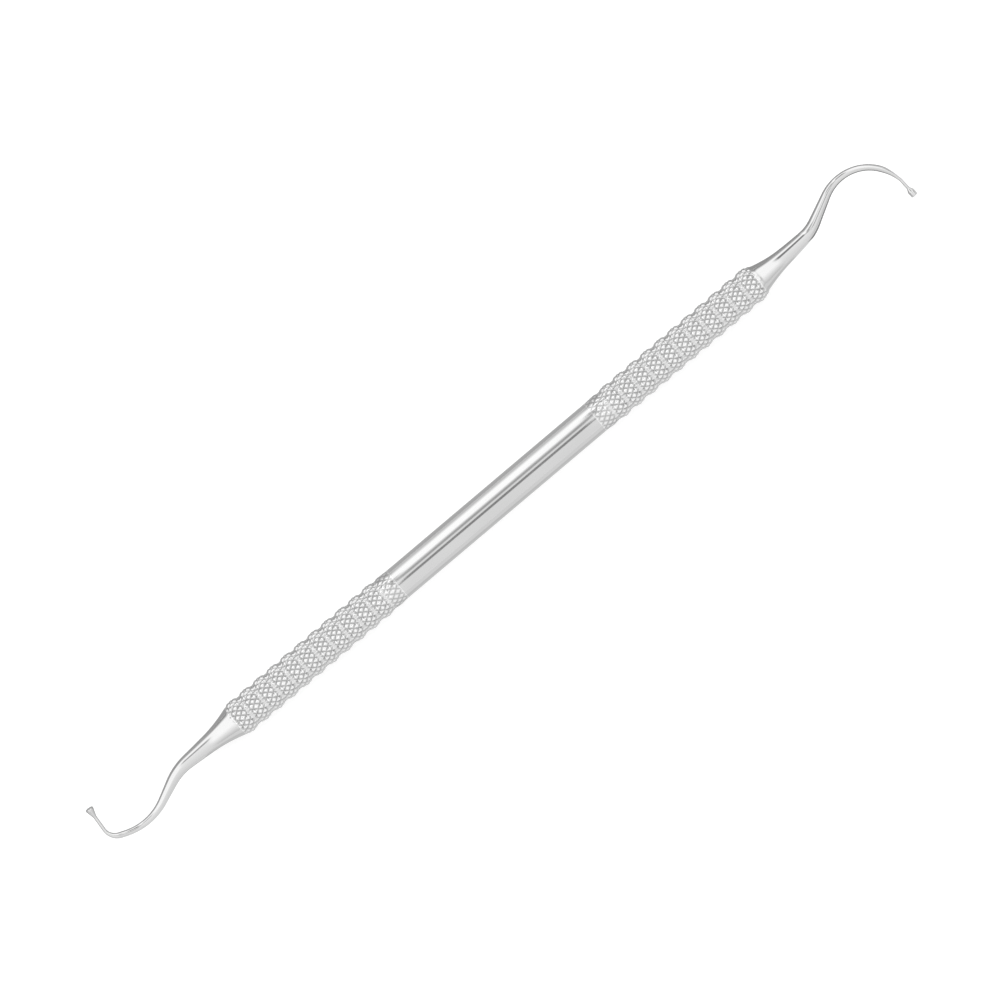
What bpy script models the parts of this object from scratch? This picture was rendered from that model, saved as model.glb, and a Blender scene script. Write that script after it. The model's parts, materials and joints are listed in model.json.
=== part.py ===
"""A double-ended dental plugger, one piece of stainless steel, in metres with +Z up.

The handle lies along X. Its smooth waist runs between two grips, each a row of turned beads with a diamond knurl.
The shanks grow out of the grips, taper along their bends to a neck, and flare again to a head with a flat working
face. Both are bent in one plane. The instrument lies as it comes to rest: rolled over until one tip touches the
table.
"""

import math
from collections import namedtuple

import bmesh
import bpy
from mathutils import Matrix, Vector

# Handle
WAIST_LENGTH = 0.0435
WAIST_RADIUS = 0.00295
BEADS_PER_GRIP = 12
BEAD_PITCH = 0.0030
BEAD_CREST_RADIUS = 0.00325
BEAD_GROOVE_RADIUS = 0.00285

# Diamond knurl on the beads, which grows to its full depth over the first part of each grip
DIAMONDS_ROUND = 17
KNURL_DEPTH = 0.00026
KNURL_RUN_IN = 0.0045

# What both shanks share
SHANK_SLIM_RADIUS = 0.00054
SHANK_TAPER_POWER = 1.8
ROOT_FLARE = 0.00065
ROOT_FLARE_LENGTH = 0.0060
ROOT_FLARE_POWER = 2
FLARE_POWER = 1.1
FACE_EDGE = 0.00006

# The arched end, toward +X: it is set a little off line, rises, goes over its crown and drops to the neck
ARCH_ROOT_RADIUS = 0.00205
ARCH_SET_ANGLE = math.radians(4.2)
ARCH_SET_RADIUS = 0.142
ARCH_RISE_ANGLE = math.radians(23.1)
ARCH_RISE_RADIUS = 0.0083
ARCH_RUN = 0.0048
ARCH_CROWN_ANGLE = math.radians(102.5)
ARCH_CROWN_RADIUS = 0.0079
ARCH_DROP = 0.0011
ARCH_NECK_ANGLE = math.radians(12.2)
ARCH_NECK_BEND = 0.0010
ARCH_NECK_TAPER = 0.0042
ARCH_NECK_LENGTH = 0.0018
ARCH_NECK_RADIUS = 0.00029
ARCH_FLARE_LENGTH = 0.0007
ARCH_HEAD_LENGTH = 0.0010
ARCH_FACE_RADIUS = 0.00062

# The cranked end, toward -X: it dips, sweeps up and turns sharply into the neck
CRANK_ROOT_RADIUS = 0.0022
CRANK_LEAD = 0.0104
CRANK_DIP_ANGLE = math.radians(24.5)
CRANK_DIP_RADIUS = 0.0107
CRANK_RUN = 0.0036
CRANK_SWEEP_ANGLE = math.radians(47.9)
CRANK_SWEEP_RADIUS = 0.0103
CRANK_RISE = 0.0008
CRANK_NECK_ANGLE = math.radians(71.6)
CRANK_NECK_BEND = 0.0025
CRANK_NECK_TAPER = 0.0035
CRANK_NECK_LENGTH = 0.0027
CRANK_NECK_RADIUS = 0.00030
CRANK_FLARE_LENGTH = 0.0015
CRANK_HEAD_LENGTH = 0.0003
CRANK_FACE_RADIUS = 0.00071

# Fineness of the mesh. A bead has its crest on a middle row, and its groove on the first
ROWS_PER_BEAD = 4
SIDES = 2 * DIAMONDS_ROUND
WAIST_SPANS = 4
ROOT_STEPS = 8
FLARE_STEPS = 4
LONGEST_STEP = 0.0022
WIDEST_TURN = math.radians(12)
SHARP_ANGLE = math.radians(30)

ROW_PITCH = BEAD_PITCH / ROWS_PER_BEAD
GRIP_END = WAIST_LENGTH / 2 + BEADS_PER_GRIP * BEAD_PITCH

# A stretch of a shank's axis: its length, the angle it turns through and the steps it is made in
Stretch = namedtuple("Stretch", "length angle steps")
# One step along that axis: how far along, how far out from the grip and to the side, and where it heads
Station = namedtuple("Station", "distance out aside heading")
Shank = namedtuple(
    "Shank", "axis root_radius neck_taper neck_length neck_radius flare_length head_length face_radius"
)


def straight(length, steps=None):
    """A stretch that keeps its heading."""
    return Stretch(length, 0.0, steps or math.ceil(length / LONGEST_STEP))


def bend(angle, radius, steps=None):
    """A stretch that turns through an angle, positive toward +Y."""
    length = abs(angle) * radius
    needed = max(math.ceil(length / LONGEST_STEP), math.ceil(abs(angle) / WIDEST_TURN))
    return Stretch(length, angle, steps or needed)


ARCH = Shank(
    axis=(
        bend(ARCH_SET_ANGLE, ARCH_SET_RADIUS, ROOT_STEPS),
        bend(ARCH_RISE_ANGLE, ARCH_RISE_RADIUS),
        straight(ARCH_RUN),
        bend(-ARCH_CROWN_ANGLE, ARCH_CROWN_RADIUS),
        straight(ARCH_DROP),
        bend(-ARCH_NECK_ANGLE, ARCH_NECK_BEND),
        straight(ARCH_NECK_LENGTH),
        straight(ARCH_FLARE_LENGTH, FLARE_STEPS),
        straight(ARCH_HEAD_LENGTH),
    ),
    root_radius=ARCH_ROOT_RADIUS,
    neck_taper=ARCH_NECK_TAPER,
    neck_length=ARCH_NECK_LENGTH,
    neck_radius=ARCH_NECK_RADIUS,
    flare_length=ARCH_FLARE_LENGTH,
    head_length=ARCH_HEAD_LENGTH,
    face_radius=ARCH_FACE_RADIUS,
)

CRANK = Shank(
    axis=(
        straight(CRANK_LEAD, ROOT_STEPS),
        bend(-CRANK_DIP_ANGLE, CRANK_DIP_RADIUS),
        straight(CRANK_RUN),
        bend(CRANK_SWEEP_ANGLE, CRANK_SWEEP_RADIUS),
        straight(CRANK_RISE),
        bend(CRANK_NECK_ANGLE, CRANK_NECK_BEND),
        straight(CRANK_NECK_LENGTH),
        straight(CRANK_FLARE_LENGTH, FLARE_STEPS),
        straight(CRANK_HEAD_LENGTH),
    ),
    root_radius=CRANK_ROOT_RADIUS,
    neck_taper=CRANK_NECK_TAPER,
    neck_length=CRANK_NECK_LENGTH,
    neck_radius=CRANK_NECK_RADIUS,
    flare_length=CRANK_FLARE_LENGTH,
    head_length=CRANK_HEAD_LENGTH,
    face_radius=CRANK_FACE_RADIUS,
)


def clear_scene():
    for obj in list(bpy.data.objects):
        bpy.data.objects.remove(obj, do_unlink=True)


def run_in(distance):
    """The share of their full size that beads and knurl have at a distance from the waist."""
    return min(distance / KNURL_RUN_IN, 1.0)


def grip_radius(distance):
    """Radius over the diamonds' points at a distance from the waist."""
    swell = math.sin(math.pi * (distance / BEAD_PITCH % 1.0))
    full = BEAD_GROOVE_RADIUS + (BEAD_CREST_RADIUS - BEAD_GROOVE_RADIUS) * swell
    return WAIST_RADIUS + (full - WAIST_RADIUS) * run_in(distance)


def handle_profile():
    """The line that is turned about X into the handle, along its lower side, from -X to +X."""
    waist = [(WAIST_LENGTH * (span / WAIST_SPANS - 0.5), WAIST_RADIUS) for span in range(WAIST_SPANS + 1)]
    grip = []
    for row in range(1, BEADS_PER_GRIP * ROWS_PER_BEAD + 1):
        distance = row * ROW_PITCH
        grip.append((WAIST_LENGTH / 2 + distance, grip_radius(distance)))
    line = [(-x, radius) for x, radius in reversed(grip)] + waist + grip
    return [Vector((x, 0, -radius)) for x, radius in line]


def turned_handle(collection):
    """The handle as it leaves the lathe, a tube open at both ends, where the shanks go on."""
    points = handle_profile()
    profile = bpy.data.meshes.new("handle_profile")
    profile.from_pydata(points, [(i, i + 1) for i in range(len(points) - 1)], [])
    blank = bpy.data.objects.new("handle_blank", profile)
    collection.objects.link(blank)
    turn = blank.modifiers.new("turn", "SCREW")
    turn.axis = "X"
    turn.steps = SIDES
    turn.render_steps = SIDES
    evaluated = blank.evaluated_get(bpy.context.evaluated_depsgraph_get())
    handle = bmesh.new()
    handle.from_mesh(evaluated.to_mesh())
    evaluated.to_mesh_clear()
    bpy.data.objects.remove(blank, do_unlink=True)
    bpy.data.meshes.remove(profile)
    return handle


def cut_knurl(mesh):
    """Sinks every other point of each ring on a bead, half a step on from ring to ring, which leaves diamonds.

    On a crest the point straight down is sunk, so each bead stands on two peaks. Each face is then split along
    its valley, from one sunk corner to the other.
    """
    knurled = set()
    for vert in mesh.verts:
        distance = abs(vert.co.x) - WAIST_LENGTH / 2
        row = round(distance / ROW_PITCH)
        if row <= 0:
            continue
        knurled.update(vert.link_faces)
        if row % ROWS_PER_BEAD == 0:
            continue
        column = round(math.atan2(vert.co.y, -vert.co.z) / math.tau * SIDES)
        if (row + column) % 2 == 0:
            radius = math.hypot(vert.co.y, vert.co.z)
            share = 1 - KNURL_DEPTH * run_in(distance) / radius
            vert.co.y *= share
            vert.co.z *= share
    bmesh.ops.triangulate(mesh, faces=list(knurled), quad_method="SHORT_EDGE")


def stations(axis):
    """The steps along a shank's axis, from the grip's end to the working face."""
    distance = out = aside = heading = 0.0
    steps = [Station(distance, out, aside, heading)]
    for stretch in axis:
        turn = stretch.angle / stretch.steps
        arc = stretch.length / stretch.steps
        chord = arc * math.sin(turn / 2) / (turn / 2) if turn else arc
        for _ in range(stretch.steps):
            out += chord * math.cos(heading + turn / 2)
            aside += chord * math.sin(heading + turn / 2)
            heading += turn
            distance += arc
            steps.append(Station(distance, out, aside, heading))
    return steps


def ease(share):
    """Goes smoothly from 0 to 1 as the share does."""
    share = min(max(share, 0.0), 1.0)
    return share * share * (3 - 2 * share)


def shank_radius(shank, distance, length):
    """Radius of a shank that is this long in all, head included, at a distance from its grip."""
    before_head = length - shank.head_length - distance
    before_neck = before_head - shank.flare_length - shank.neck_length
    if before_head < shank.flare_length:
        flare = min(1 - before_head / shank.flare_length, 1.0) ** FLARE_POWER
        return shank.neck_radius + (shank.face_radius - shank.neck_radius) * flare
    taper_length = distance + before_neck - shank.neck_taper
    taper = max(1 - distance / taper_length, 0.0) ** SHANK_TAPER_POWER
    root = ROOT_FLARE * max(1 - distance / ROOT_FLARE_LENGTH, 0.0) ** ROOT_FLARE_POWER
    body = SHANK_SLIM_RADIUS + (shank.root_radius - SHANK_SLIM_RADIUS) * taper + root
    return shank.neck_radius + (body - shank.neck_radius) * ease(before_neck / shank.neck_taper)


def shank_rings(shank):
    """(station, radius) of each ring after the grip's own, the last one narrower by the face's broken edge."""
    along = stations(shank.axis)
    face = along[-1]
    rings = [(station, shank_radius(shank, station.distance, face.distance)) for station in along[1:-1]]
    rim = face._replace(
        out=face.out - FACE_EDGE * math.cos(face.heading),
        aside=face.aside - FACE_EDGE * math.sin(face.heading),
    )
    return rings + [(rim, shank.face_radius), (face, shank.face_radius - FACE_EDGE)]


def resting_roll(rings, support):
    """How far the instrument rolls toward -Y before a bent end meets the table.

    A point at a reach from the handle's axis, and an angle above -Y, comes level with the grips' lowest peaks, a
    distance of support below the axis, once it has turned down by that angle and the arcsine of their ratio.
    """
    rolls = []
    for station, radius in rings:
        for side in range(SIDES):
            around = math.tau * side / SIDES
            outward = -station.aside - radius * math.cos(around) * math.cos(station.heading)
            upward = radius * math.sin(around)
            reach = math.hypot(outward, upward)
            if outward > 0 and reach > support:
                rolls.append(math.atan2(upward, outward) + math.asin(support / reach))
    return min(rolls, default=0.0)


def ring_pose(end, station, radius, roll):
    """Where a ring of unit radius about X goes to, with the shanks' plane rolled about the handle's axis."""
    level = Matrix.Rotation(roll, 4, "X")
    place = Matrix.Translation((end * (GRIP_END + station.out), station.aside, 0))
    heading = Matrix.Rotation(end * station.heading, 4, "Z")
    return level @ place @ heading @ Matrix.Scale(radius, 4) @ level.inverted()


def grow_shank(mesh, end, rings, roll):
    """Extrudes the open end at +X (end = 1) or -X (end = -1) ring by ring, and closes it with the face."""
    loop = [edge for edge in mesh.edges if edge.is_boundary and edge.verts[0].co.x * end > 0]
    pose = ring_pose(end, Station(0, 0, 0, 0), BEAD_GROOVE_RADIUS, roll)
    for station, radius in rings:
        grown = bmesh.ops.extrude_edge_only(mesh, edges=loop)["geom"]
        loop = [item for item in grown if isinstance(item, bmesh.types.BMEdge) and item.is_boundary]
        corners = [item for item in grown if isinstance(item, bmesh.types.BMVert)]
        next_pose = ring_pose(end, station, radius, roll)
        bmesh.ops.transform(mesh, matrix=next_pose @ pose.inverted(), verts=corners)
        pose = next_pose
    bmesh.ops.contextual_create(mesh, geom=loop)


def stand_on_table(mesh):
    """Moves the origin to the middle of the footprint, at the table's height."""
    corners = [[vert.co[axis] for vert in mesh.verts] for axis in range(3)]
    middle = [(min(values) + max(values)) / 2 for values in corners]
    bmesh.ops.translate(mesh, vec=(-middle[0], -middle[1], -min(corners[2])), verts=mesh.verts)


def polished_steel():
    material = bpy.data.materials.new("polished_steel")
    material.use_nodes = True
    shader = material.node_tree.nodes["Principled BSDF"]
    shader.inputs["Base Color"].default_value = (0.72, 0.72, 0.73, 1)
    shader.inputs["Metallic"].default_value = 1
    shader.inputs["Roughness"].default_value = 0.18
    return material


def main():
    clear_scene()
    collection = bpy.data.collections.new("dental_plugger")
    bpy.context.scene.collection.children.link(collection)

    mesh = turned_handle(collection)
    cut_knurl(mesh)
    arch = shank_rings(ARCH)
    crank = shank_rings(CRANK)
    lowest_peak = min(vert.co.z for vert in mesh.verts)
    roll = resting_roll(arch + crank, -lowest_peak)
    grow_shank(mesh, 1, arch, roll)
    grow_shank(mesh, -1, crank, roll)
    bmesh.ops.recalc_face_normals(mesh, faces=mesh.faces)
    stand_on_table(mesh)

    data = bpy.data.meshes.new("plugger")
    mesh.to_mesh(data)
    mesh.free()
    data.shade_smooth()
    data.set_sharp_from_angle(angle=SHARP_ANGLE)
    data.materials.append(polished_steel())
    collection.objects.link(bpy.data.objects.new("plugger", data))


main()
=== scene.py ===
"""The looks of a double-ended dental plugger: one piece of steel, in metres with +Z up.

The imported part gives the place, the roll and the size. This script models the fine surface that stands for it, with
its turned beads, diamond knurl, tapering bends and flared heads, finishes it as polished and knurled steel, and sets
it on a white table, in light that gives the steel the photograph's dark and bright lines.
"""

import json
import logging
import math
from collections.abc import Callable, Iterator
from contextlib import contextmanager
from dataclasses import dataclass, field
from enum import Enum
from typing import Any, ClassVar

import bmesh
import bpy
import numpy as np
from mathutils import Matrix, Vector


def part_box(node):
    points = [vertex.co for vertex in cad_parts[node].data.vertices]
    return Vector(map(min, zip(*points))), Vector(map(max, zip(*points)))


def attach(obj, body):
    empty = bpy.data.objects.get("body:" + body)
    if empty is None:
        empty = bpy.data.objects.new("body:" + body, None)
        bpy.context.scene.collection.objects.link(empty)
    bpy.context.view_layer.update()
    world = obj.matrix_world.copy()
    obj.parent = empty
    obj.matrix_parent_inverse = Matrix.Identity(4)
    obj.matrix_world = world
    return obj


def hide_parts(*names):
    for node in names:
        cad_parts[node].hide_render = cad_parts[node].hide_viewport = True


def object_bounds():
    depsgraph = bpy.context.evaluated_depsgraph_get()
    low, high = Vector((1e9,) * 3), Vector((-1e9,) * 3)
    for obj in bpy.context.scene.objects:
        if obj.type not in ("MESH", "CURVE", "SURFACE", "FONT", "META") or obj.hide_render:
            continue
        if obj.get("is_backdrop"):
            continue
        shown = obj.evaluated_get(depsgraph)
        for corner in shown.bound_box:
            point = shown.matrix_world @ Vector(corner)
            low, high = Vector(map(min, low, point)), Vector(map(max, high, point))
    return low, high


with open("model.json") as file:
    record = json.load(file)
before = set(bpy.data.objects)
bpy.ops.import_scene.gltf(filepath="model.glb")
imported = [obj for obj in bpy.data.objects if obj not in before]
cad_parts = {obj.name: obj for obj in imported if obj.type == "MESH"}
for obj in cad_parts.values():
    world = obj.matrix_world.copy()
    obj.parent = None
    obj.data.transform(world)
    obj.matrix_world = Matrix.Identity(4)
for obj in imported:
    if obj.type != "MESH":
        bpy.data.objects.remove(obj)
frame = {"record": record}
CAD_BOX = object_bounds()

LOG = logging.getLogger("plugger")
MM = 0.001
WELD = 0.001 * MM
NOISE_MEAN = 0.5


class Side(Enum):
    """The way that a shank points along the handle."""

    RIGHT = 1
    LEFT = -1


class MixSocket:
    """Places of the sockets that a colour Mix node uses."""

    FACTOR = 0
    FIRST = 6
    SECOND = 7
    RESULT = 2


def deselect_all() -> None:
    """Leaves no object selected."""
    bpy.ops.object.select_all(action="DESELECT")


def make_active(piece: bpy.types.Object) -> None:
    """Selects one object alone, and makes it the active one."""
    deselect_all()
    piece.select_set(True)
    bpy.context.view_layer.objects.active = piece


@contextmanager
def edit_mode(piece: bpy.types.Object) -> Iterator[None]:
    """Holds a piece in edit mode, all selected, and goes back to object mode."""
    make_active(piece)
    bpy.ops.object.mode_set(mode="EDIT")
    bpy.ops.mesh.select_all(action="SELECT")
    yield
    bpy.ops.object.mode_set(mode="OBJECT")


def select_edges(piece: bpy.types.Object, wanted: Callable[[bmesh.types.BMEdge], bool]) -> None:
    """Selects the edges of a piece in edit mode that pass a test.

    Args:
        piece: The piece, in edit mode.
        wanted: The test of one edge.
    """
    bpy.ops.mesh.select_all(action="DESELECT")
    bpy.ops.mesh.select_mode(type="EDGE")
    mesh = bmesh.from_edit_mesh(piece.data)
    for edge in mesh.edges:
        if wanted(edge):
            edge.select_set(True)
    bmesh.update_edit_mesh(piece.data)


def settle(piece: bpy.types.Object) -> None:
    """Puts a piece's place, turn and scale into its mesh."""
    make_active(piece)
    bpy.ops.object.transform_apply(location=True, rotation=True, scale=True)


def joined(pieces: list[bpy.types.Object], name: str) -> bpy.types.Object:
    """Joins pieces into the first of them.

    Args:
        pieces: The pieces, at least one.
        name: The name of the joined piece.

    Returns:
        The joined piece.
    """
    deselect_all()
    for piece in pieces:
        piece.select_set(True)
    bpy.context.view_layer.objects.active = pieces[0]
    if len(pieces) > 1:
        bpy.ops.object.join()
    pieces[0].name = name
    return pieces[0]


def apply_modifier(piece: bpy.types.Object, kind: str, **settings: Any) -> None:
    """Adds a modifier to a piece, sets it and applies it.

    Args:
        piece: The piece.
        kind: The modifier's type.
        settings: Its settings by name.
    """
    make_active(piece)
    modifier = piece.modifiers.new(kind.lower(), kind)
    for name, value in settings.items():
        setattr(modifier, name, value)
    bpy.ops.object.modifier_apply(modifier=modifier.name)


class Wire:
    """A node's output, with which shader maths is written as plain expressions."""

    def __init__(self, graph: "Graph", socket: bpy.types.NodeSocket) -> None:
        """Keeps the graph that new Math nodes go to, and the output."""
        self.graph = graph
        self.socket = socket

    def maths(self, operation: str, first: Any, second: Any) -> "Wire":
        """Adds a Math node of two inputs, and gives its output."""
        return self.graph.node("ShaderNodeMath", {"operation": operation}, {0: first, 1: second})

    def __add__(self, other: Any) -> "Wire":
        """This plus other."""
        return self.maths("ADD", self, other)

    def __radd__(self, other: Any) -> "Wire":
        """Other plus this."""
        return self.maths("ADD", other, self)

    def __sub__(self, other: Any) -> "Wire":
        """This less other."""
        return self.maths("SUBTRACT", self, other)

    def __rsub__(self, other: Any) -> "Wire":
        """Other less this."""
        return self.maths("SUBTRACT", other, self)

    def __mul__(self, other: Any) -> "Wire":
        """This times other."""
        return self.maths("MULTIPLY", self, other)

    def __rmul__(self, other: Any) -> "Wire":
        """Other times this."""
        return self.maths("MULTIPLY", other, self)

    def __truediv__(self, other: Any) -> "Wire":
        """This over other."""
        return self.maths("DIVIDE", self, other)

    def __pow__(self, other: Any) -> "Wire":
        """This to the power of other."""
        return self.maths("POWER", self, other)

    def angle_over(self, other: "Wire") -> "Wire":
        """The angle, in radians, of the point that has this as its height and other as its reach."""
        return self.maths("ARCTAN2", self, other)

    def larger(self, other: Any) -> "Wire":
        """The larger of this and other."""
        return self.maths("MAXIMUM", self, other)

    def rise(self, start: float, end: float) -> "Wire":
        """A smooth step from 0 where this is start to 1 where it is end."""
        sockets = {"Value": self, "From Min": start, "From Max": end}
        return self.graph.node("ShaderNodeMapRange", {"interpolation_type": "SMOOTHSTEP"}, sockets)


class Graph:
    """A node tree that is written through one method."""

    def __init__(self, tree: bpy.types.NodeTree) -> None:
        """Empties the tree."""
        self.tree = tree
        tree.nodes.clear()

    def node(
        self,
        kind: str,
        settings: dict[str, Any] | None = None,
        sockets: dict[str | int, Any] | None = None,
        output: str | int = 0,
    ) -> Wire:
        """Adds a node.

        Args:
            kind: The node's type.
            settings: Its settings by name, where "stops" are a ramp's (place, colour) pairs.
            sockets: A value or a wire for each input, by name or place.
            output: The output to give, by name or place.

        Returns:
            That output.
        """
        node = self.tree.nodes.new(kind)
        for name, value in (settings or {}).items():
            if name == "stops":
                self._set_stops(node.color_ramp, value)
            else:
                setattr(node, name, value)
        for name, value in (sockets or {}).items():
            if isinstance(value, Wire):
                self.tree.links.new(value.socket, node.inputs[name])
            else:
                node.inputs[name].default_value = value
        return Wire(self, node.outputs[output]) if node.outputs else Wire(self, None)

    @staticmethod
    def _set_stops(ramp: bpy.types.ColorRamp, stops: list[tuple[float, tuple[float, ...]]]) -> None:
        """Gives a ramp these stops alone."""
        while len(ramp.elements) < len(stops):
            ramp.elements.new(1.0)
        for element, (place, colour) in zip(ramp.elements, stops):
            element.position = place
            element.color = colour

    def mix(self, share: Any, first: Any, second: Any) -> Wire:
        """Mixes two colours.

        Args:
            share: The second colour's share.
            first: The first colour.
            second: The second colour.

        Returns:
            The mixed colour.
        """
        sockets = {MixSocket.FACTOR: share, MixSocket.FIRST: first, MixSocket.SECOND: second}
        return self.node("ShaderNodeMix", {"data_type": "RGBA"}, sockets, MixSocket.RESULT)

    def noise(self, place: Wire, stretch: tuple[float, float, float], detail: float) -> Wire:
        """Noise whose grains are stretched.

        Args:
            place: The coordinates, in metres.
            stretch: How many grains go to a metre along X, Y and Z.
            detail: How many finer layers it has.

        Returns:
            Its value, about one half on average.
        """
        scaled = self.node("ShaderNodeMapping", None, {"Vector": place, "Scale": stretch})
        return self.node("ShaderNodeTexNoise", None, {"Vector": scaled, "Scale": 1.0, "Detail": detail}, "Fac")


def grey(value: float) -> tuple[float, float, float, float]:
    """A grey as a linear colour."""
    return (value, value, value, 1.0)


@dataclass(frozen=True)
class PolishedSteel:
    """The finish of the waist, the shanks and the tips: bright, with faint marks of the polishing wheel."""

    tone: float = 0.66
    tone_change: float = 0.03
    roughness: float = 0.085
    mark_roughness: float = 0.05
    smudge_roughness: float = 0.04
    marks_per_metre: tuple[float, float, float] = (5200.0, 500.0, 500.0)
    mark_detail: float = 3.0
    mark_height: float = 0.0006 * MM
    smudges_per_metre: tuple[float, float, float] = (90.0, 220.0, 220.0)
    smudge_detail: float = 2.0

    def material(self) -> bpy.types.Material:
        """Makes the material.

        Returns:
            The material.
        """
        material = bpy.data.materials.new("polished_steel")
        material.use_nodes = True
        graph = Graph(material.node_tree)
        place = graph.node("ShaderNodeTexCoord", output="Object")
        marks = graph.noise(place, self.marks_per_metre, self.mark_detail)
        smudges = graph.noise(place, self.smudges_per_metre, self.smudge_detail)
        colour = graph.mix(smudges, grey(self.tone - self.tone_change), grey(self.tone + self.tone_change))
        uneven = (marks - NOISE_MEAN) * self.mark_roughness + (smudges - NOISE_MEAN) * self.smudge_roughness
        bump = graph.node("ShaderNodeBump", None, {"Height": marks, "Distance": self.mark_height, "Strength": 1.0})
        shader = graph.node(
            "ShaderNodeBsdfPrincipled",
            None,
            {"Base Color": colour, "Metallic": 1.0, "Roughness": uneven + self.roughness, "Normal": bump},
        )
        graph.node("ShaderNodeOutputMaterial", None, {"Surface": shader})
        return material


@dataclass(frozen=True)
class KnurledSteel:
    """The finish of the grips: bright on the diamonds' tops, duller down in knurl and grooves, with painted shade
    there.
    """

    top_tone: float = 0.86
    # The valleys' darker tone is painted shade.
    shaded_valley_tone: float = 0.42
    top_roughness: float = 0.17
    valley_roughness: float = 0.28
    grain_roughness: float = 0.08
    grains_per_metre: tuple[float, float, float] = (7000.0, 7000.0, 7000.0)
    grain_detail: float = 2.0
    grain_height: float = 0.0015 * MM
    dullness_and_shade_power: float = 1.5

    def material(self) -> bpy.types.Material:
        """Makes the material, which reads how far down in the knurl or a groove a point is, and darkens the colour
        there as painted shade.

        Returns:
            The material.
        """
        material = bpy.data.materials.new("knurled_steel")
        material.use_nodes = True
        graph = Graph(material.node_tree)
        place = graph.node("ShaderNodeTexCoord", output="Object")
        grain = graph.noise(place, self.grains_per_metre, self.grain_detail)
        shade = graph.node("ShaderNodeAttribute", {"attribute_name": KnurledBead.SHADE}, output="Fac")
        dullness_and_shade = shade ** self.dullness_and_shade_power
        # Painted shade: the colour goes from the tops' tone to the darker valleys' tone down in the knurl and the
        # grooves, and the roughness rises there for a duller finish.
        colour = graph.mix(dullness_and_shade, grey(self.top_tone), grey(self.shaded_valley_tone))
        roughness = (
            dullness_and_shade * (self.valley_roughness - self.top_roughness)
            + (grain - NOISE_MEAN) * self.grain_roughness
            + self.top_roughness
        )
        bump = graph.node("ShaderNodeBump", None, {"Height": grain, "Distance": self.grain_height, "Strength": 1.0})
        shader = graph.node(
            "ShaderNodeBsdfPrincipled",
            None,
            {"Base Color": colour, "Metallic": 1.0, "Roughness": roughness, "Normal": bump},
        )
        graph.node("ShaderNodeOutputMaterial", None, {"Surface": shader})
        return material


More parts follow.
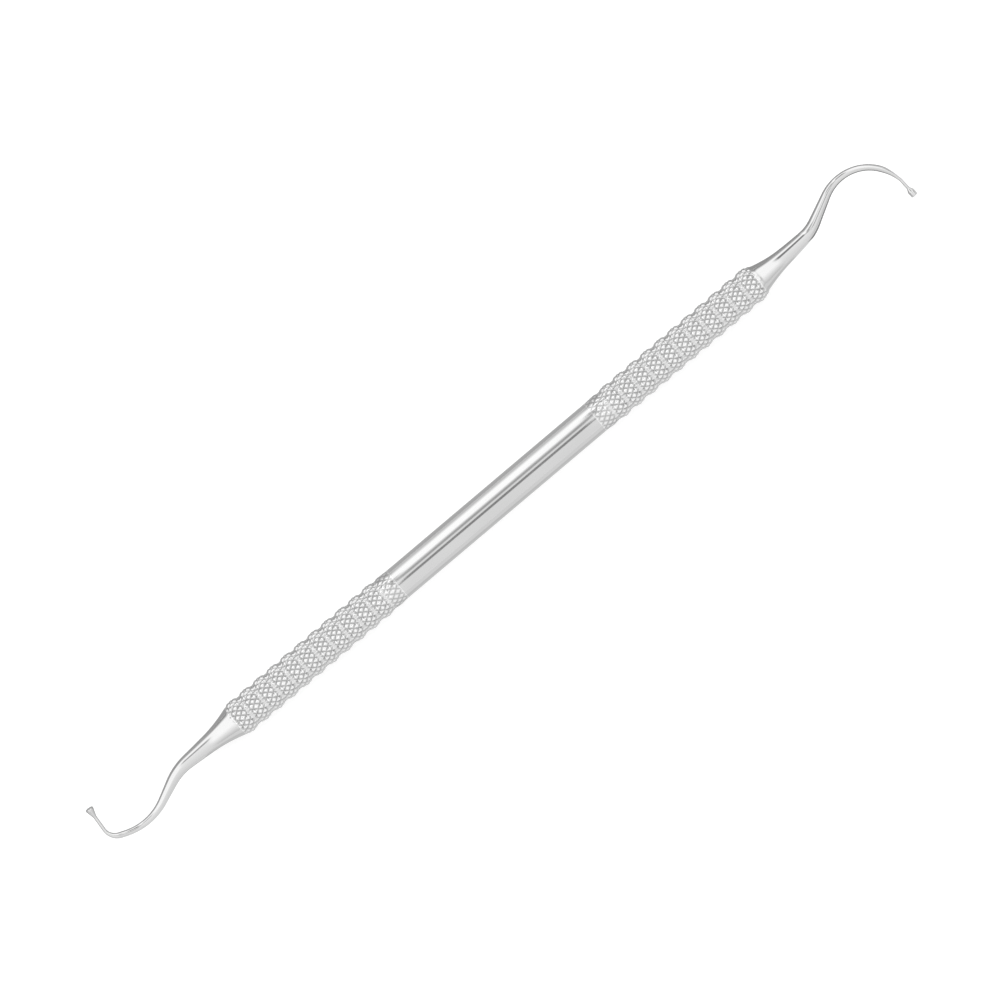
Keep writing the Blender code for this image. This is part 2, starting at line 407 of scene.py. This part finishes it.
@dataclass
class KnurledBead:
    """One bead of a grip, from groove to groove, made as one strip of diamonds that is spun round the handle.

    Attributes:
        waist_radius: The waist's radius, out of which the first beads grow.
        pitch: The distance from groove to groove.
        crest_radius: The radius over the diamonds' tops at a bead's middle.
        groove_radius: The radius at the bottom of a groove.
        diamonds_round: How many diamonds go round the handle.
        rows: How many rows, of half a diamond each, a bead has.
        cells: How many cells of the mesh go to a row, and to a column.
        knurl_depth: The depth of the valleys between the diamonds.
        run_in: The distance from the waist over which beads and knurl grow to full size.
        groove_fade: The distance from a groove over which the knurl fades.
        groove_share: The share of its depth that the knurl keeps in a groove.
        groove_shade: The share of a valley's duller finish and painted shade that a groove's bottom has.
        shade_width: How far from a groove that duller finish and painted shade reach.
        flat_share: How far a diamond's flat top reaches from its middle toward the valley.
    """

    # The attribute that darkens the colour as painted shade and makes the finish duller, down in the knurl and at the
    # grooves.
    SHADE: ClassVar[str] = "knurl_shade"
    COLUMNS: ClassVar[int] = 2  # half diamonds across the strip

    waist_radius: float = 2.95 * MM
    pitch: float = 3.0 * MM
    crest_radius: float = 3.25 * MM
    groove_radius: float = 2.85 * MM
    diamonds_round: int = 17
    rows: int = 4
    cells: int = 4
    knurl_depth: float = 0.26 * MM
    run_in: float = 4.5 * MM
    groove_fade: float = 0.3 * MM
    groove_share: float = 0.35
    groove_shade: float = 0.5
    shade_width: float = 0.45 * MM
    flat_share: float = 0.2

    @property
    def sides(self) -> int:
        """The number of points round a ring."""
        return self.COLUMNS * self.diamonds_round * self.cells

    def grown(self, distance: float) -> float:
        """The share of their full size that bead and knurl have at a distance from the waist."""
        return min(distance / self.run_in, 1.0)

    def bead_radius(self, distance: float) -> float:
        """Radius over the diamonds' tops at a distance from the waist."""
        swell = math.sin(math.pi * (distance / self.pitch % 1.0))
        full = self.groove_radius + (self.crest_radius - self.groove_radius) * swell
        return self.waist_radius + (full - self.waist_radius) * self.grown(distance)

    def depth_share(self, distance: float, row: float, column: float) -> float:
        """How deep a point lies in the knurl, from 0 on a diamond's top to 1 in a valley.

        Args:
            distance: How far the point is from the waist.
            row: Its place along the bead, in rows.
            column: Its place round the handle, in columns.

        Returns:
            The share of the knurl's full depth, which fades out into the bead's grooves.
        """
        slant = max(abs(1 - (row + column) % 2), abs(1 - (row - column) % 2))
        flank = max(slant - self.flat_share, 0.0) / (1 - self.flat_share)
        to_groove = self.to_groove(distance)
        return flank * (self.groove_share + (1 - self.groove_share) * min(to_groove / self.groove_fade, 1.0))

    def to_groove(self, distance: float) -> float:
        """How far a place at a distance from the waist is from the nearest groove between beads."""
        return min(distance % self.pitch, -distance % self.pitch)

    def shade(self, distance: float, depth: float) -> float:
        """How much of a valley's duller finish and painted shade a point has; a groove's bottom has some too."""
        in_groove = 1 - self.to_groove(distance) / self.shade_width
        return max(depth, self.groove_shade * in_groove * self.grown(distance))

    def strip(self, start: float, finish: bpy.types.Material) -> bpy.types.Object:
        """Models the bead's strip of one diamond's width, along the handle's underside.

        Args:
            start: How far the bead's first groove is from the waist.
            finish: The material.

        Returns:
            The strip, whose X is the distance from the waist.
        """
        deselect_all()
        bpy.ops.mesh.primitive_grid_add(
            x_subdivisions=self.rows * self.cells, y_subdivisions=self.COLUMNS * self.cells, size=1.0
        )
        strip = bpy.context.object
        shades = []
        # The grid goes from -0.5 to 0.5 both ways.
        for vert in strip.data.vertices:
            row = (vert.co.x + 0.5) * self.rows
            column = vert.co.y * self.COLUMNS
            distance = start + row / self.rows * self.pitch
            depth = self.depth_share(distance, row, column)
            radius = self.bead_radius(distance) - self.knurl_depth * depth * self.grown(distance)
            around = column * math.pi / self.diamonds_round
            vert.co = (distance, radius * math.sin(around), -radius * math.cos(around))
            shades.append(self.shade(distance, depth))
        strip.data.attributes.new(self.SHADE, "FLOAT", "POINT").data.foreach_set("value", shades)
        strip.data.materials.append(finish)
        return strip

    def model(self, start: float, finish: bpy.types.Material) -> bpy.types.Object:
        """Models the bead.

        Args:
            start: How far its first groove is from the waist.
            finish: The material.

        Returns:
            The bead, open at both grooves, with each face split along its valley.
        """
        bead = self.strip(start, finish)
        copies = self.diamonds_round - 1
        with edit_mode(bead):
            bpy.ops.mesh.spin(
                steps=copies,
                dupli=True,
                angle=math.tau * copies / self.diamonds_round,
                center=(0, 0, 0),
                axis=(1, 0, 0),
            )
            bpy.ops.mesh.select_all(action="SELECT")
            bpy.ops.mesh.remove_doubles(threshold=WELD)
            bpy.ops.mesh.quads_convert_to_tris(quad_method="SHORTEST_DIAGONAL")
        return bead


@dataclass
class Handle:
    """The waist and the two grips, with the handle's axis on X and its middle at the origin."""

    bead: KnurledBead
    waist_length: float = 43.5 * MM
    beads_per_grip: int = 12
    waist_cuts: int = 11

    @property
    def end(self) -> float:
        """How far the grips' ends are from the middle."""
        return self.waist_length / 2 + self.beads_per_grip * self.bead.pitch

    def grip(self, finish: bpy.types.Material) -> bpy.types.Object:
        """Models the beads that grow out of the waist, and then a full one that is repeated.

        Args:
            finish: The material.

        Returns:
            The grip toward +X, open at both ends.
        """
        growing = math.ceil(self.bead.run_in / self.bead.pitch)
        beads = [self.bead.model(number * self.bead.pitch, finish) for number in range(growing + 1)]
        apply_modifier(
            beads[-1],
            "ARRAY",
            count=self.beads_per_grip - growing,
            use_relative_offset=False,
            use_constant_offset=True,
            constant_offset_displace=(self.bead.pitch, 0, 0),
        )
        grip = joined(beads, "grip")
        self.round_end(grip)
        grip.location.x = self.waist_length / 2
        settle(grip)
        return grip

    def round_end(self, grip: bpy.types.Object) -> None:
        """Brings a grip's last ring out of the knurl to a plain circle, which the shank's first ring joins.

        Args:
            grip: The grip, whose X is still the distance from the waist.
        """
        last = self.beads_per_grip * self.bead.pitch
        for vert in grip.data.vertices:
            if vert.co.x > last - WELD:
                spoke = Vector((0, vert.co.y, vert.co.z)).normalized() * self.bead.groove_radius
                vert.co = (last, spoke.y, spoke.z)

    def model(self, polished: bpy.types.Material, knurled: bpy.types.Material) -> bpy.types.Object:
        """Models the handle.

        Args:
            polished: The waist's material.
            knurled: The grips' material.

        Returns:
            The handle, open at the grips' ends.
        """
        handle = self.grip(knurled)
        handle.name = "handle"
        handle.data.materials.append(polished)
        apply_modifier(handle, "MIRROR", use_axis=(True, False, False), use_mirror_merge=False)
        waist_end = self.waist_length / 2
        with edit_mode(handle):
            bpy.ops.mesh.remove_doubles(threshold=WELD)
            select_edges(handle, lambda edge: edge.is_boundary and abs(edge.verts[0].co.x) < waist_end + WELD)
            bpy.ops.mesh.bridge_edge_loops(number_cuts=self.waist_cuts, interpolation="LINEAR")
        for face in handle.data.polygons:
            if abs(face.center.x) < waist_end:
                face.material_index = handle.data.materials.find(polished.name)
        return handle


@dataclass(frozen=True)
class Stretch:
    """One stretch of a shank's axis, straight or bent toward +Y by a positive angle."""

    length: float
    angle: float = 0.0
    longest_step: float = 0.5 * MM
    widest_turn: float = math.radians(3)

    @classmethod
    def bend(cls, degrees: float, radius: float) -> "Stretch":
        """A bend of so many degrees about a radius."""
        return cls(math.radians(abs(degrees)) * radius, math.radians(degrees))

    @property
    def steps(self) -> int:
        """How many steps keep it smooth."""
        return max(math.ceil(self.length / self.longest_step), math.ceil(abs(self.angle) / self.widest_turn))


@dataclass(frozen=True)
class Ring:
    """One ring of a shank: how far out from the grip and to the side its middle is, its heading and its radius."""

    out: float
    aside: float
    heading: float
    radius: float


@dataclass
class Shank:
    """A bent, tapering shank that flares into a small head, extruded ring by ring from the grip's end.

    Attributes:
        side: The way that it points.
        axis: The stretches of its axis, to which those of the neck and the head are added.
        root_radius: The radius at the grip, without the root's flare.
        neck_taper: The length over which the body narrows to the neck.
        neck_length: The length of the neck, at one radius.
        neck_radius: That radius.
        flare_length: The length over which the neck widens to the head.
        head_length: The length of the head, at the face's radius.
        face_radius: The radius of the face, with its rounded edge.
        slim_radius: The radius that the body tapers toward.
        taper_power: The form of that taper, where 1 is a cone.
        root_flare: How much the flare adds to the radius at the grip.
        root_flare_length: How far out from the grip it reaches.
        root_flare_power: The form of the root's flare, where 1 is a cone.
        flare_power: The form of the head's flare, where 1 is a cone.
        flare_steps: How many steps the head's flare has.
        face_edge: The radius of the face's rounded edge.
        edge_steps: How many steps that edge has.
    """

    side: Side
    axis: tuple[Stretch, ...]
    root_radius: float
    neck_taper: float
    neck_length: float
    neck_radius: float
    flare_length: float
    head_length: float
    face_radius: float
    slim_radius: float = 0.54 * MM
    taper_power: float = 1.8
    root_flare: float = 0.65 * MM
    root_flare_length: float = 6.0 * MM
    root_flare_power: float = 2.0
    flare_power: float = 1.1
    flare_steps: int = 10
    face_edge: float = 0.06 * MM
    edge_steps: int = 3

    def __post_init__(self) -> None:
        """Adds the straight stretches of the neck, its flare and the head to the axis."""
        flare = Stretch(self.flare_length, longest_step=self.flare_length / self.flare_steps)
        self.axis = (*self.axis, Stretch(self.neck_length), flare, Stretch(self.head_length))

    @property
    def length(self) -> float:
        """The length along the axis."""
        return sum(stretch.length for stretch in self.axis)

    def radius(self, distance: float) -> float:
        """The radius at a distance from the grip."""
        before_head = self.length - self.head_length - distance
        before_neck = before_head - self.flare_length - self.neck_length
        if before_head < self.flare_length:
            flare = min(1 - before_head / self.flare_length, 1.0) ** self.flare_power
            return self.neck_radius + (self.face_radius - self.neck_radius) * flare
        taper_length = distance + before_neck - self.neck_taper
        taper = max(1 - distance / taper_length, 0.0) ** self.taper_power
        flare = self.root_flare * max(1 - distance / self.root_flare_length, 0.0) ** self.root_flare_power
        body = self.slim_radius + (self.root_radius - self.slim_radius) * taper + flare
        share = min(max(before_neck / self.neck_taper, 0.0), 1.0)
        return self.neck_radius + (body - self.neck_radius) * share * share * (3 - 2 * share)

    def rings(self) -> Iterator[Ring]:
        """Works out the rings.

        Yields:
            Each ring after the grip's own, up to the rounded edge of the face.
        """
        distance = out = aside = heading = 0.0
        for stretch in self.axis:
            turn = stretch.angle / stretch.steps
            arc = stretch.length / stretch.steps
            chord = arc * math.sin(turn / 2) / (turn / 2) if turn else arc
            for _ in range(stretch.steps):
                out += chord * math.cos(heading + turn / 2)
                aside += chord * math.sin(heading + turn / 2)
                heading += turn
                distance += arc
                if distance < self.length - self.face_edge:
                    yield Ring(out, aside, heading, self.radius(distance))
        for step in range(self.edge_steps + 1):
            slope = math.pi / 2 * step / self.edge_steps
            back = self.face_edge * (1 - math.sin(slope))
            radius = self.face_radius - self.face_edge * (1 - math.cos(slope))
            yield Ring(out - back * math.cos(heading), aside - back * math.sin(heading), heading, radius)

    def model(self, handle: Handle, roll: float, finish: bpy.types.Material) -> bpy.types.Object:
        """Models the shank.

        Args:
            handle: The handle that it grows from.
            roll: How far the plane of its bends is rolled about the handle's axis.
            finish: The material.

        Returns:
            The shank in its place, open where it meets the grip.
        """
        deselect_all()
        bpy.ops.mesh.primitive_circle_add(
            vertices=handle.bead.sides, radius=handle.bead.groove_radius, rotation=(0, math.pi / 2, 0)
        )
        shank = bpy.context.object
        shank.name = f"shank_{self.side.name.lower()}"
        settle(shank)
        # Turned back first, so that the ring's points meet the grip's once the shank is rolled into place.
        shank.rotation_euler.x = -roll
        settle(shank)
        shank.data.materials.append(finish)
        at = Ring(0, 0, 0, handle.bead.groove_radius)
        with edit_mode(shank):
            for ring in self.rings():
                middle = (self.side.value * ring.out, ring.aside, 0)
                step = (self.side.value * (ring.out - at.out), ring.aside - at.aside, 0)
                bpy.ops.mesh.extrude_region_move(TRANSFORM_OT_translate={"value": step})
                if ring.heading != at.heading:
                    turn = -self.side.value * (ring.heading - at.heading)
                    bpy.ops.transform.rotate(value=turn, orient_axis="Z", center_override=middle)
                bpy.ops.transform.resize(value=(ring.radius / at.radius,) * 3, center_override=middle)
                at = ring
            bpy.ops.mesh.edge_face_add()
        shank.rotation_euler.x = roll
        shank.location.x = self.side.value * handle.end
        settle(shank)
        return shank


@dataclass
class Plugger:
    """The whole instrument: its handle and its two shanks, welded into one closed piece."""

    handle: Handle
    arch: Shank
    crank: Shank
    smooth_angle: float = math.radians(50)
    middle: Vector = field(default_factory=Vector, init=False)

    @staticmethod
    def resting_roll() -> float:
        """The roll of the plane of the bends, from the arched end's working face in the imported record."""
        mounts = {mount["name"]: mount for mount in frame["record"]["mounts"]}
        _, aside, up = mounts["arch_face"]["axis"]
        return math.atan2(-up, -aside)

    def model(self) -> bpy.types.Object:
        """Models and finishes the instrument.

        Returns:
            The piece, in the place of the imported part.
        """
        polished = PolishedSteel().material()
        knurled = KnurledSteel().material()
        roll = self.resting_roll()
        handle = self.handle.model(polished, knurled)
        shanks = [shank.model(self.handle, roll, polished) for shank in (self.arch, self.crank)]
        piece = joined([handle, *shanks], "plugger_surface")
        with edit_mode(piece):
            bpy.ops.mesh.remove_doubles(threshold=WELD)
            bpy.ops.mesh.normals_make_consistent(inside=False)
        make_active(piece)
        bpy.ops.object.shade_smooth_by_angle(angle=self.smooth_angle)
        self.place(piece)
        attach(piece, "root")
        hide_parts("plugger")
        return piece

    def place(self, piece: bpy.types.Object) -> None:
        """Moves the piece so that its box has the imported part's middle and top, which sets the handle's middle."""
        low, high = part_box("plugger")
        corners = np.array([vert.co for vert in piece.data.vertices])
        middle = (corners.min(0) + corners.max(0)) / 2
        piece.location = (low + high) / 2 - Vector(middle)
        piece.location.z = high.z - corners.max(0)[2]
        self.middle = piece.location.copy()
        settle(piece)


@dataclass(frozen=True)
class Picture:
    """The photograph's view: the frame's size and the handle's place and lean in it."""

    size: int = 1000
    width: float = 168.9 * MM
    handle_middle: tuple[float, float] = (496.4, 500.7)
    handle_lean: float = math.radians(40.18)
    bends_tilt: float = math.radians(12)
    lens: float = 250.0
    nearest: float = 10 * MM

    def view_tilt(self, roll: float) -> float:
        """How far the line of sight leans over from straight down, for a roll of the bends' plane."""
        return roll - self.bends_tilt

    def make_camera(self, roll: float, middle: Vector) -> bpy.types.Object:
        """Makes the scene's camera.

        Args:
            roll: The roll of the plane of the bends.
            middle: The handle's middle.

        Returns:
            The camera.
        """
        tilt = self.view_tilt(roll)
        back = Vector((0, -math.sin(tilt), math.cos(tilt)))
        across = Vector((0, math.cos(tilt), math.sin(tilt)))
        along = Vector((1, 0, 0))
        right = along * math.cos(self.handle_lean) - across * math.sin(self.handle_lean)
        up = along * math.sin(self.handle_lean) + across * math.cos(self.handle_lean)
        pixel = self.width / self.size
        to_middle = [self.size / 2 - place for place in self.handle_middle]
        target = middle + right * to_middle[0] * pixel - up * to_middle[1] * pixel
        data = bpy.data.cameras.new("camera")
        data.lens = self.lens
        data.clip_start = self.nearest
        camera = bpy.data.objects.new("camera", data)
        bpy.context.scene.collection.objects.link(camera)
        distance = self.width * self.lens / data.sensor_width
        camera.matrix_world = look_from(target + back * distance, right, up, back)
        bpy.context.scene.camera = camera
        return camera


def look_from(place: Vector, right: Vector, up: Vector, back: Vector) -> Matrix:
    """The matrix of a camera or lamp at a place, with these axes."""
    return Matrix.Translation(place) @ Matrix((right, up, back)).transposed().to_4x4()


Stops = tuple[tuple[float, float], ...]


def ramp_place(degrees: Any) -> Any:
    """The place, from 0 to 1, of an angle in degrees, a number or a wire, on a ramp from -180 to 180."""
    return degrees / 360 + 0.5


@dataclass(frozen=True)
class Zone:
    """The surround from an angle along the handle on, with flags and a soft box set for the photograph's view.

    Attributes:
        start: That angle, in degrees from the line of sight toward +X.
        stops: Pairs of an angle round the handle, in degrees toward the far side, and a brightness.
    """

    # Mirrored by the waist: a dark flag, a grey one, and the soft box.
    MIDDLE: ClassVar[Stops] = (
        (-60, 1.0),
        (-15, 1.0),
        (-12, 0.3),
        (0, 0.3),
        (3, 1.0),
        (12, 1.0),
        (15, 0.5),
        (25, 0.5),
        (40, 1.5),
        (70, 1.5),
        (90, 0.8),
    )
    # Mirrored mostly by the arched end's taper: a dark flag beside the soft box.
    ARCH_LINE: ClassVar[Stops] = (
        (-60, 1.0),
        (22, 1.2),
        (27, 0.3),
        (48, 0.3),
        (53, 1.4),
        (70, 1.4),
        (90, 0.5),
    )
    # Mirrored mostly by the cranked end's taper: a grey flag beside the soft box.
    CRANK_LINE: ClassVar[Stops] = (
        (-60, 1.0),
        (24, 1.2),
        (29, 0.5),
        (43, 0.5),
        (48, 1.4),
        (70, 1.4),
        (90, 0.5),
    )
    # Mirrored mostly by the roots and the bends: no flag, and less light low down.
    WIDE: ClassVar[Stops] = (
        (-75, 0.75),
        (-5, 1.4),
        (70, 1.4),
        (90, 0.4),
    )
    # Mirrored mostly by the steepest bends: a wide grey flag.
    OUTER: ClassVar[Stops] = (
        (-75, 0.75),
        (-30, 0.75),
        (-15, 0.5),
        (2, 0.5),
        (12, 0.95),
        (66, 0.95),
        (76, 0.4),
    )

    start: float
    stops: Stops


@dataclass(frozen=True)
class SoftBox:
    """A long soft box beside the handle.

    Attributes:
        angle: Its angle from the line of sight toward the far side, in degrees.
        distance: How far it is from the handle's middle.
        half_width: Half the angle that it takes up across the handle, in degrees.
        half_length: Half the angle that it takes up along the handle, in degrees.
        brightness: Its brightness as seen.
    """

    angle: float = 52.0
    distance: float = 0.9
    half_width: float = 12.0
    half_length: float = 36.0
    brightness: float = 1.8

    def make(self, tilt: float, aim: Vector) -> bpy.types.Object:
        """Makes the lamp.

        Args:
            tilt: How far the line of sight leans over from straight down.
            aim: What it points at.

        Returns:
            The lamp.
        """
        from_above = math.radians(self.angle) - tilt
        back = Vector((0, math.sin(from_above), math.cos(from_above)))
        along = Vector((1, 0, 0))
        data = bpy.data.lights.new("soft_box", "AREA")
        data.shape = "RECTANGLE"
        data.size = 2 * self.distance * math.tan(math.radians(self.half_length))
        data.size_y = 2 * self.distance * math.tan(math.radians(self.half_width))
        data.energy = self.brightness * math.pi * data.size * data.size_y
        lamp = bpy.data.objects.new("soft_box", data)
        bpy.context.scene.collection.objects.link(lamp)
        lamp.matrix_world = look_from(aim + back * self.distance, along, back.cross(along), back)
        # The steel mirrors the surround's bright band there instead.
        lamp.visible_glossy = False
        return lamp


@dataclass(frozen=True)
class PaintedShadeCard:
    """A grey card on the table that glows and lights nothing, which only the steel sees: painted shade in its
    reflections.

    Attributes:
        name: Its name, and its material's.
        ends: Where it begins and ends along X, from the handle's middle.
        sides: Where it begins and ends along Y, from the handle's middle.
        brightness: Its brightness as the steel mirrors it.
        lift: How far it lies over the table.
    """

    name: str
    ends: tuple[float, float]
    sides: tuple[float, float]
    brightness: float
    lift: float = 0.02 * MM

    def make(self, beside: Vector, table: float) -> bpy.types.Object:
        """Makes the card.

        Args:
            beside: The middle of the handle.
            table: The table's height.

        Returns:
            The card.
        """
        deselect_all()
        bpy.ops.mesh.primitive_plane_add(size=1)
        card = bpy.context.object
        card.name = self.name
        card.scale = (self.ends[1] - self.ends[0], self.sides[1] - self.sides[0], 1)
        card.location = (beside.x + sum(self.ends) / 2, beside.y + sum(self.sides) / 2, table + self.lift)
        settle(card)
        material = bpy.data.materials.new(self.name)
        material.use_nodes = True
        graph = Graph(material.node_tree)
        # Painted shade: the card glows at this brightness instead of being lit.
        glow = graph.node("ShaderNodeEmission", None, {"Color": grey(1.0), "Strength": self.brightness})
        graph.node("ShaderNodeOutputMaterial", None, {"Surface": glow})
        card.data.materials.append(material)
        card.visible_camera = False
        card.visible_diffuse = False
        card.visible_transmission = False
        card.visible_volume_scatter = False
        card.visible_shadow = False
        card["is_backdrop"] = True
        return card


@dataclass(frozen=True)
class Studio:
    """A white table under a surround in zones, with cards of painted shade beside the handle and a soft box on its
    far side.

    Attributes:
        tilt: How far the line of sight leans over from straight down.
        table_size: The length of the table's sides.
        table_tone: The table's tone as it lights the object.
        table_glow: The table's glow where it is seen or mirrored, which makes it white.
        seen_tone: The table's tone where it is seen or mirrored, which takes the shadow.
        blend: The share of a zone's start over which it takes over from the one before.
        soft_box: The lamp.
        cards: The glowing cards on the table, which paint shade into the steel's reflections.
        zones: The surround's zones, from -X to +X.
    """

    SEEN_BY: ClassVar[tuple[str, ...]] = ("Is Camera Ray", "Is Glossy Ray", "Is Transmission Ray")

    tilt: float
    table_size: float = 6.0
    table_tone: float = 0.80
    table_glow: float = 0.70
    seen_tone: float = 0.40
    blend: float = 0.2
    soft_box: SoftBox = SoftBox()
    # Painted shade in the steel's reflections of the table: darker on the far side, nearly white on the near side.
    cards: tuple[PaintedShadeCard, ...] = (
        PaintedShadeCard("far_card", (-58 * MM, 58 * MM), (2.9 * MM, 300 * MM), 0.58),
        PaintedShadeCard("far_arch_card", (58 * MM, 150 * MM), (3.2 * MM, 300 * MM), 0.42),
        PaintedShadeCard("far_crank_card", (-150 * MM, -58 * MM), (-3.0 * MM, 300 * MM), 0.48),
        PaintedShadeCard("near_card", (-150 * MM, 150 * MM), (-300 * MM, -3.0 * MM), 0.92),
        PaintedShadeCard("near_strip", (-66 * MM, 66 * MM), (-9.5 * MM, -3.0 * MM), 0.74, lift=0.04 * MM),
        PaintedShadeCard("rise_card", (70 * MM, 84 * MM), (-9.0 * MM, 3.2 * MM), 0.30, lift=0.04 * MM),
    )
    zones: tuple[Zone, ...] = (
        Zone(-90, Zone.OUTER),
        Zone(-52, Zone.WIDE),
        Zone(-16, Zone.CRANK_LINE),
        Zone(-2.6, Zone.MIDDLE),
        Zone(2.6, Zone.ARCH_LINE),
        Zone(16, Zone.WIDE),
        Zone(46, Zone.OUTER),
    )

    def make_world(self) -> None:
        """Makes the surround, set by the angles round and along the handle from the line of sight."""
        world = bpy.data.worlds.new("studio")
        world.use_nodes = True
        bpy.context.scene.world = world
        graph = Graph(world.node_tree)
        direction = graph.node("ShaderNodeTexCoord", output="Generated")
        along = self._reach(graph, direction, (1, 0, 0))
        across = self._reach(graph, direction, (0, math.cos(self.tilt), math.sin(self.tilt)))
        back = self._reach(graph, direction, (0, -math.sin(self.tilt), math.cos(self.tilt)))
        place = ramp_place(across.angle_over(back) * math.degrees(1))
        brightest = max(brightness for zone in self.zones for _, brightness in zone.stops)
        bands = []
        for zone in self.zones:
            stops = [(ramp_place(angle), grey(brightness / brightest)) for angle, brightness in zone.stops]
            bands.append(graph.node("ShaderNodeValToRGB", {"stops": stops}, {0: place}))
        colour = bands[0]
        for zone, band in zip(self.zones[1:], bands[1:]):
            ends = [math.sin(math.radians(zone.start * share)) for share in (1 - self.blend, 1 + self.blend)]
            colour = graph.mix(along.rise(*sorted(ends)), colour, band)
        background = graph.node("ShaderNodeBackground", None, {"Color": colour, "Strength": brightest})
        graph.node("ShaderNodeOutputWorld", None, {"Surface": background})

    @staticmethod
    def _reach(graph: Graph, direction: Wire, axis: tuple[float, float, float]) -> Wire:
        """How far a direction goes along an axis."""
        settings = {"operation": "DOT_PRODUCT"}
        return graph.node("ShaderNodeVectorMath", settings, {0: direction, 1: axis}, "Value")

    def make_table(self, height: float) -> bpy.types.Object:
        """Makes the table, which the camera and the steel see as white with the shadow that lies on it.

        Args:
            height: The table's height.

        Returns:
            The table.
        """
        deselect_all()
        bpy.ops.mesh.primitive_plane_add(size=self.table_size, location=(0, 0, height))
        table = bpy.context.object
        table.name = "table"
        settle(table)
        material = bpy.data.materials.new("white_table")
        material.use_nodes = True
        graph = Graph(material.node_tree)
        camera, glossy, transmission = (graph.node("ShaderNodeLightPath", output=name) for name in self.SEEN_BY)
        seen = camera.larger(glossy).larger(transmission)
        plain = graph.node("ShaderNodeBsdfDiffuse", None, {"Color": grey(self.table_tone)})
        shaded = graph.node("ShaderNodeBsdfDiffuse", None, {"Color": grey(self.seen_tone)})
        glow = graph.node("ShaderNodeEmission", None, {"Color": grey(1.0), "Strength": self.table_glow})
        white = graph.node("ShaderNodeAddShader", None, {0: shaded, 1: glow})
        surface = graph.node("ShaderNodeMixShader", None, {0: seen, 1: plain, 2: white})
        graph.node("ShaderNodeOutputMaterial", None, {"Surface": surface})
        table.data.materials.append(material)
        table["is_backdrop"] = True
        return table

    def make(self, middle: Vector) -> list[bpy.types.Object]:
        """Makes the surround, the soft box, the table and the cards.

        Args:
            middle: The handle's middle.

        Returns:
            The table and the cards.
        """
        height = CAD_BOX[0].z
        self.make_world()
        self.soft_box.make(self.tilt, middle)
        return [self.make_table(height), *(card.make(middle, height) for card in self.cards)]


def arched_shank() -> Shank:
    """The shank toward +X, which rises, goes over its crown and drops to its tip."""
    return Shank(
        side=Side.RIGHT,
        axis=(
            Stretch.bend(4.2, 142 * MM),
            Stretch.bend(23.1, 8.3 * MM),
            Stretch(4.8 * MM),
            Stretch.bend(-102.5, 7.9 * MM),
            Stretch(1.1 * MM),
            Stretch.bend(-12.2, 1.0 * MM),
        ),
        root_radius=2.05 * MM,
        neck_taper=4.2 * MM,
        neck_length=1.8 * MM,
        neck_radius=0.29 * MM,
        flare_length=0.7 * MM,
        head_length=1.0 * MM,
        face_radius=0.62 * MM,
    )


def cranked_shank() -> Shank:
    """The shank toward -X, which dips, sweeps up and turns sharply into its neck."""
    return Shank(
        side=Side.LEFT,
        axis=(
            Stretch(10.4 * MM),
            Stretch.bend(-24.5, 10.7 * MM),
            Stretch(3.6 * MM),
            Stretch.bend(47.9, 10.3 * MM),
            Stretch(0.8 * MM),
            Stretch.bend(71.6, 2.5 * MM),
        ),
        root_radius=2.2 * MM,
        neck_taper=3.5 * MM,
        neck_length=2.7 * MM,
        neck_radius=0.3 * MM,
        flare_length=1.5 * MM,
        head_length=0.3 * MM,
        face_radius=0.71 * MM,
    )


def report(piece: bpy.types.Object) -> None:
    """Reports a piece's faces, and the edges that don't join two of them."""
    mesh = bmesh.new()
    mesh.from_mesh(piece.data)
    loose = sum(not edge.is_manifold for edge in mesh.edges)
    triangles = sum(len(face.verts) - 2 for face in mesh.faces)
    mesh.free()
    LOG.info("%s: %d triangles, %d open edges", piece.name, triangles, loose)


def write_sizes() -> None:
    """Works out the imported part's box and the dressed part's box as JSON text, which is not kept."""
    boxes = {"cad": CAD_BOX, "visual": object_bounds()}
    json.dumps({name: [list(corner) for corner in box] for name, box in boxes.items()})


def main() -> None:
    """Builds the instrument and its studio."""
    logging.basicConfig(level=logging.INFO, format="%(message)s")
    bpy.context.scene.view_settings.view_transform = "Standard"
    handle = Handle(KnurledBead())
    instrument = Plugger(handle, arched_shank(), cranked_shank())
    roll = instrument.resting_roll()
    piece = instrument.model()
    report(piece)
    picture = Picture()
    picture.make_camera(roll, instrument.middle)
    for stage in Studio(picture.view_tilt(roll)).make(instrument.middle):
        report(stage)
    write_sizes()


if __name__ == "__main__":
    main()
